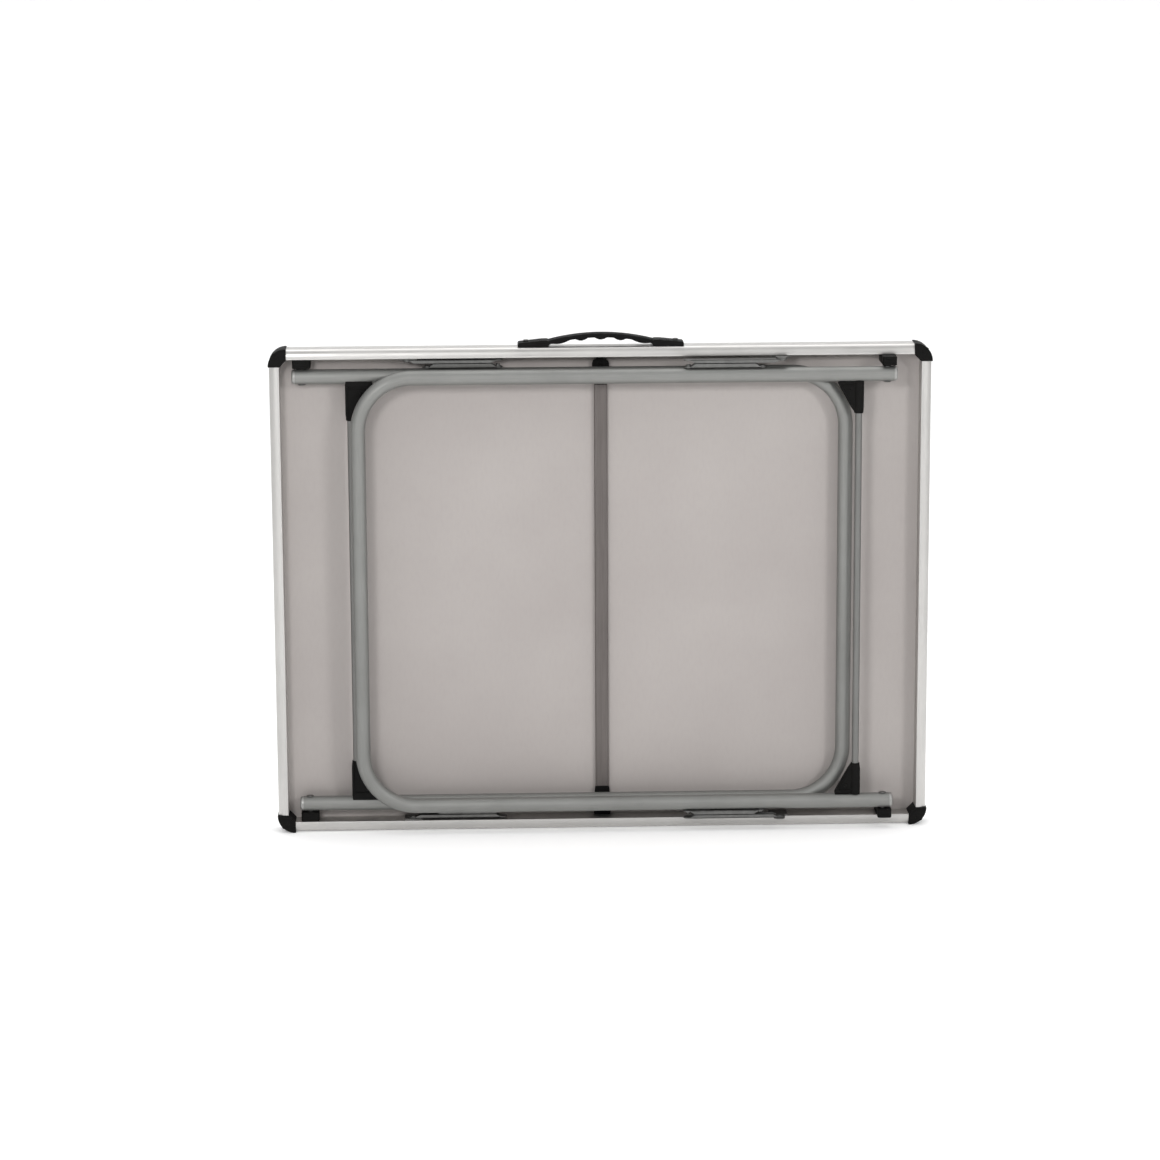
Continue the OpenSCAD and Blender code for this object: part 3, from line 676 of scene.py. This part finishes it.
def add_pivot_block(leg, side):
    """The moulded hinge block between rim and side tube, with a boss round the bolt and raised ribs."""
    node = f"pivot_block_{leg.name}_{side}"
    lo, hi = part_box(node)
    half_l = (hi[0] - lo[0]) / 2
    start, boss_r = (-half_l, 7.4 * MM) if leg.name == "a" else (-6.2 * MM, 5.8 * MM)
    sign = 1 if side == "bottom" else -1
    edge = lo[2] if sign > 0 else hi[2]
    wide = hi[2] - lo[2]
    near, far = FACE_Y - hi[1], FACE_Y - lo[1]

    def to_world(u, v, w):
        return (leg.hinge_x + u, depth_to_y(v), edge + sign * w)

    round_r, boss_space = 3.5 * MM, 1.2 * MM
    outline = [(start, near), (half_l, near), *arc(half_l - round_r, far - round_r, round_r, 0, 90, 6),
               *arc(start + round_r, far - round_r, round_r, 90, 180, 6)]
    solid = bmesh.new()
    prism(solid, outline, 0, wide - boss_space, to_world)
    place_in(f"{node}_body", solid, NYLON, "tabletop", [node], bevel=0.9 * MM)

    solid = bmesh.new()
    boss_l, boss_edge, boss_round, boss_sunk = 1.7 * MM, 1.2 * MM, 0.5 * MM, 0.2 * MM
    profile = [(0, 0), (boss_r, 0), (boss_r, boss_edge), (boss_r - boss_round, boss_l), (0, boss_l)]
    lathe(solid, profile, to_world(0, leg.depth, wide - boss_l - boss_sunk), (0, 0, sign))

    # Ribs: two upright ones beside the boss, and two level ones along the outer face
    rib_in, rib_w, rib_near, rib_far = 2.2 * MM, 1.4 * MM, near + 2 * MM, far - 3 * MM
    rib_root, rib_top = wide - 1.5 * MM, wide - 0.5 * MM
    for u in (start + rib_in, half_l - rib_in - rib_w):
        upright = [(u, rib_near), (u + rib_w, rib_near), (u + rib_w, rib_far), (u, rib_far)]
        prism(solid, upright, rib_root, rib_top, to_world)
    level_w, level_from, level_to = 1.2 * MM, start + 3 * MM, half_l - 3 * MM
    level_root, level_top = far - 0.6 * MM, far + 0.5 * MM
    level = [(level_from, level_root), (level_to, level_root), (level_to, level_top),
             (level_from, level_top)]
    for w in (3.5 * MM, wide - 4.5 * MM):
        prism(solid, level, w, w + level_w, to_world)
    place_in(f"{node}_boss", solid, NYLON, "tabletop", [], bevel=0.3 * MM)


def add_pivot_bolts(leg):
    """Shank, washer and domed head on the inner side of each side tube."""
    in_block, clear, washer_thick = 6 * MM, 0.3 * MM, 0.4 * MM
    shank_r, washer_r, head_r, head_tall = 3 * MM, 4.6 * MM, 4 * MM, 0.9 * MM
    shank = 2 * TUBE_R + in_block + clear
    seat = shank + washer_thick
    profile = [(0, 0), (shank_r, 0), (shank_r, shank), (washer_r, shank), (washer_r, seat),
               *[(x, seat + y) for x, y in dome(head_r, head_tall)]]
    solid = bmesh.new()
    for side in (-1, 1):
        base = Vector((leg.hinge_x, leg.y, MID_Z + side * (HALF_W + TUBE_R + in_block)))
        lathe(solid, profile, base, (0, 0, -side))
    place_in(f"pivot_bolt_pair_{leg.name}", solid, ZINC, "tabletop",
             [f"pivot_bolts_{leg.name}"])


# ---- Stays ----

def add_stay_arm(leg, side, kind):
    """A pressed steel channel with rounded ends, two flanges and a bead along the web."""
    node = f"{kind}_arm_{leg.name}_{side}"
    lo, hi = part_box(node)
    half_h = (hi[1] - lo[1]) / 2
    sign = 1 if side == "bottom" else -1
    x0, x1 = lo[0] + half_h, hi[0] - half_h
    low_w = lo[2] if sign > 0 else hi[2]
    wide = hi[2] - lo[2]
    sheet = 1.2 * MM
    web_low = kind == "rim"

    def to_world(u, v, w):
        return (u, leg.y + v, low_w + sign * w)

    outline = arc(x1, 0, half_h, -90, 90, 14) + arc(x0, 0, half_h, 90, 270, 14)
    rim_channel = 4.2 * MM
    channel = rim_channel if web_low else wide
    web = (0, sheet) if web_low else (wide - sheet, wide)
    flange = (0, channel) if web_low else (wide - channel, wide)
    solid = bmesh.new()
    prism(solid, outline, *web, to_world)
    open_w = flange[1] if web_low else flange[0]
    root_w = flange[0] if web_low else flange[1]
    taper = 8 * MM
    shape = [(x0, root_w), (x0 + taper, open_w), (x1 - taper, open_w), (x1, root_w)]
    for v in (-half_h, half_h - sheet):
        prism(solid, shape, v, v + sheet, lambda u, w, v: to_world(u, v, w))
    place_in(f"{node}_channel", solid, ZINC, node, [node], bevel=0.35 * MM)

    solid = bmesh.new()
    bead_r, bead_root, bead_rise, inset = 1.5 * MM, 0.1 * MM, 0.7 * MM, 17 * MM
    low, high = sheet - bead_root, sheet + bead_rise
    bead_w = (low, high) if web_low else (wide - high, wide - low)
    bead = arc(x1 - inset, 0, bead_r, -90, 90, 8) + arc(x0 + inset, 0, bead_r, 90, 270, 8)
    prism(solid, bead, *bead_w, to_world)
    place_in(f"{node}_bead", solid, ZINC, node, [], bevel=0.4 * MM)


# ---- Handle ----

def hump(x, at, reach, tall):
    """Height at x of a rounded swelling, tall at its middle and reach long to each side."""
    away = abs(x - at) / reach
    return tall * math.cos(math.pi / 2 * away) if away < 1 else 0.0


def add_grip():
    """A flexible arched strap: three finger nubs under its middle, a lower swelling towards each foot."""
    lo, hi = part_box("handle_grip")
    base_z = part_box("rim_top")[1][2]
    mid_y = (lo[1] + hi[1]) / 2
    half_w = (hi[1] - lo[1]) / 2
    thick, round_r, foot, half_arch = 5 * MM, 2.2 * MM, 4 * MM, 66 * MM
    waist, camber, flat_share = 1.5 * MM, 0.25 * MM, 0.45
    nub_gap, nub_reach, nub_tall = 23 * MM, 7.5 * MM, 2.6 * MM
    foot_at, foot_reach, foot_tall = 48 * MM, 11 * MM, 2.2 * MM
    crown = hi[2] - base_z - thick / 2
    sag = crown - foot
    big_r = (half_arch ** 2 + sag ** 2) / (2 * sag)

    def middle(x):
        if abs(x) >= half_arch:
            return foot
        return max(math.sqrt(big_r ** 2 - x * x) - big_r + crown, foot)

    def under(x):
        swell = sum(hump(x, side * foot_at, foot_reach, foot_tall) for side in (1, -1))
        return swell + sum(hump(x, side * nub_gap, nub_reach, nub_tall) for side in (0, 1, -1))

    steps = 150
    end = half_arch + 12 * MM
    solid = bmesh.new()
    rings = []
    for i in range(steps + 1):
        x = -end + 2 * end * i / steps
        above = middle(x) + thick / 2
        below = middle(x) - thick / 2 - under(x)
        w = half_w - waist * math.cos(math.pi / 2 * min(1.0, abs(x) / half_arch))
        crest = camber * (1 - min(1.0, abs(x) / end))
        section = arc(w - round_r, above - round_r, round_r, 0, 90, 5)
        section += [(w * flat_share, above), (0, above + crest), (-w * flat_share, above)]
        section += arc(-w + round_r, above - round_r, round_r, 90, 180, 5)
        section += arc(-w + round_r, below + round_r, round_r, 180, 270, 5)
        section += arc(w - round_r, below + round_r, round_r, 270, 360, 5)
        rings.append([solid.verts.new((x, mid_y + p, base_z + q)) for p, q in section])
    for a, b in zip(rings, rings[1:]):
        bridge(solid, a, b)
    solid.faces.new(rings[0])
    solid.faces.new(rings[-1][::-1])
    place_in("handle_strap", solid, GRIP, "tabletop", ["handle_grip"], sharp=60)


def add_handle_caps():
    """A sloping end cap at each end of the strap, with five ribs across and a screw."""
    grip_lo, grip_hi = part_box("handle_grip")
    base_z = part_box("rim_top")[1][2]
    mid_y = (grip_lo[1] + grip_hi[1]) / 2
    narrower, round_r, low_end, flat_l = 2 * MM, 2.5 * MM, 5 * MM, 9 * MM
    rib_at, rib_pitch, rib_w, rib_taper = 8.5 * MM, 2.6 * MM, 1.2 * MM, 0.2 * MM
    rib_root, rib_rise, rib_in = 0.5 * MM, 0.3 * MM, 4 * MM
    screw_at, screw_r, screw_tall, screw_sunk = 9 * MM, 3.2 * MM, 1.1 * MM, 0.5 * MM
    for name, sign in (("left", -1), ("right", 1)):
        node = f"handle_cap_{name}"
        lo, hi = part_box(node)
        inner = abs(lo[0] if sign > 0 else hi[0])
        outer = abs(hi[0] if sign > 0 else lo[0])
        tall = hi[2] - base_z
        half = (hi[1] - lo[1]) / 2 - narrower
        outline = [(inner + 1.5 * MM, 0), (outer, 0),
                   *arc(outer - round_r, low_end - round_r, round_r, 0, 80, 6),
                   (inner + flat_l, tall), (inner + 2 * MM, tall), (inner, tall - 1.8 * MM),
                   (inner - 0.5 * MM, 2.5 * MM)]

        def to_world(u, v, w, s=sign):
            return (s * u, mid_y + w, base_z + v)

        def on_slope(u):
            """Height of the cap's sloping top."""
            share = (u - inner - flat_l) / (outer - round_r - inner - flat_l)
            return tall + (low_end - tall) * max(0.0, share)

        solid = bmesh.new()
        prism(solid, outline, -half, half, to_world)
        place_in(f"{node}_shell", solid, NYLON, "tabletop", [node], bevel=0.8 * MM)
        solid = bmesh.new()
        for k in range(5):
            u = inner + rib_at + rib_pitch * k
            root, crest = on_slope(u) - rib_root, on_slope(u) + rib_rise
            rib = [(u, root), (u + rib_w, root), (u + rib_w - rib_taper, crest), (u + rib_taper, crest)]
            prism(solid, rib, -half + rib_in, half - rib_in, to_world)
        place_in(f"{node}_ribs", solid, NYLON, "tabletop", [], bevel=0.2 * MM)
        solid = bmesh.new()
        screw_u = outer - screw_at
        at = to_world(screw_u, on_slope(screw_u) - screw_sunk, 0)
        domed_head(solid, screw_r, screw_tall, at, (0, 0, 1), steps=28)
        place_in(f"handle_screw_{name}", solid, NYLON, "tabletop", [])


# ---- Camera, floor and light ----

def add_camera():
    """A long lens, a little above the table, rolled by a fraction of a degree."""
    distance = 4.5
    elevation, azimuth, roll = map(math.radians, (11.8, 1.77, 0.30))
    target = Vector((-0.0266, 0.0, 0.3124))
    forward = Vector((math.sin(azimuth) * math.cos(elevation),
                      math.cos(azimuth) * math.cos(elevation), -math.sin(elevation)))
    data = bpy.data.cameras.new("camera")
    data.sensor_width = 36
    data.lens = 114.7
    data.clip_start, data.clip_end = 0.05, 60
    camera = bpy.data.objects.new("camera", data)
    camera.rotation_mode = "QUATERNION"
    camera.location = target - forward * distance
    turn = Matrix.Rotation(roll, 4, forward)
    camera.rotation_quaternion = turn.to_quaternion() @ forward.to_track_quat("-Z", "Y")
    bpy.context.scene.collection.objects.link(camera)
    bpy.context.scene.camera = camera


def add_floor():
    """A pale sweep: a flat floor that curves up into a wall well behind the table."""
    floor_z, half, radius, steps = -0.0002, 6.0, 1.5, 12
    front, back, wall_top = -7.0, 2.5, 7.0
    profile = [(front, 0.0), (back, 0.0)]
    for i in range(1, steps + 1):
        turn = math.pi / 2 * i / steps
        profile.append((back + radius * math.sin(turn), radius * (1 - math.cos(turn))))
    profile.append((back + radius, wall_top))
    mesh = bpy.data.meshes.new("floor")
    verts = [(x, y, floor_z + z) for y, z in profile for x in (-half, half)]
    faces = [(2 * i, 2 * i + 1, 2 * i + 3, 2 * i + 2) for i in range(len(profile) - 1)]
    mesh.from_pydata(verts, [], faces)
    for face in mesh.polygons:
        face.use_smooth = True
    floor = bpy.data.objects.new("floor", mesh)
    bpy.context.scene.collection.objects.link(floor)
    mat, _, _, shader = new_material("floor_white")
    shader.inputs["Base Color"].default_value = (0.95, 0.95, 0.95, 1)
    shader.inputs["Roughness"].default_value = 0.9
    shader.inputs["Specular IOR Level"].default_value = 0.1
    shader.inputs["Emission Color"].default_value = (1, 1, 1, 1)
    shader.inputs["Emission Strength"].default_value = 0.15
    mesh.materials.append(mat)


def add_area(name, place, aim, size, power):
    """A rectangular lamp at place, turned towards aim."""
    data = bpy.data.lights.new(name, "AREA")
    data.shape = "RECTANGLE"
    data.size, data.size_y = size
    data.energy = power
    light = bpy.data.objects.new(name, data)
    light.location = place
    light.rotation_mode = "QUATERNION"
    light.rotation_quaternion = (Vector(aim) - Vector(place)).to_track_quat("-Z", "Y")
    bpy.context.scene.collection.objects.link(light)


def ranged(nodes, links, value, source, target):
    """value taken from the range source to the range target, and held within it."""
    node = nodes.new("ShaderNodeMapRange")
    for name, limit in zip(("From Min", "From Max", "To Min", "To Max"), (*source, *target)):
        node.inputs[name].default_value = limit
    links.new(value, node.inputs["Value"])
    return node.outputs["Result"]


def add_lights():
    """A white room, dimmer in front and low down, two soft keys, and a broad lamp over the floor."""
    bpy.context.scene.view_settings.view_transform = "Standard"
    world = bpy.data.worlds.new("world")
    bpy.context.scene.world = world
    world.use_nodes = True
    nodes, links = world.node_tree.nodes, world.node_tree.links
    background = nodes["Background"]
    background.inputs["Color"].default_value = (1, 1, 1, 1)
    split = nodes.new("ShaderNodeSeparateXYZ")
    links.new(nodes.new("ShaderNodeTexCoord").outputs["Generated"], split.inputs["Vector"])
    rise = ranged(nodes, links, split.outputs["Z"], (-0.2, 1.0), (0.3, 0.7))
    front = ranged(nodes, links, split.outputs["Y"], (-0.95, -0.35), (0.3, 1.4))
    product = nodes.new("ShaderNodeMath")
    product.operation = "MULTIPLY"
    links.new(rise, product.inputs[0])
    links.new(front, product.inputs[1])
    links.new(product.outputs[0], background.inputs["Strength"])
    table_middle, floor_behind = (0, 0, 0.3), (0, 0.9, 0)
    add_area("key_left", (-1.02, -2.78, 1.48), table_middle, (0.6, 0.6), 31)
    add_area("key_right", (1.76, -2.43, 1.42), table_middle, (0.55, 0.55), 24)
    add_area("top", (0, 0.9, 3.4), floor_behind, (4.0, 3.0), 50)


def dress_plain_nodes():
    """Give every CAD node that stays visible its material."""
    looks = {"board": LAMINATE, "handle_screws": ZINC_DARK, "corner_screws": NYLON}
    for leg in "ab":
        for side in ("top", "bottom"):
            looks[f"stay_bracket_{leg}_{side}"] = ZINC_DARK
            looks[f"elbow_rivet_{leg}_{side}"] = ZINC
        looks[f"stay_rim_rivets_{leg}"] = ZINC
        looks[f"leg_{leg}_stay_rivets"] = ZINC
    for name, mat in looks.items():
        node = bpy.data.objects[name]
        node.data.materials.clear()
        node.data.materials.append(mat)


add_camera()
add_floor()
add_lights()
dress_plain_nodes()
add_rims()
add_corners()
add_centre_bar()
add_bar_sockets()
for frame_leg in LEGS.values():
    add_leg_tube(frame_leg)
    add_end_plugs(frame_leg)
    add_cross_bar(frame_leg)
    add_pivot_bolts(frame_leg)
    for half in ("top", "bottom"):
        add_gusset(frame_leg, half)
        add_pivot_block(frame_leg, half)
        for part in ("rim", "leg"):
            add_stay_arm(frame_leg, half, part)
add_grip()
add_handle_caps()
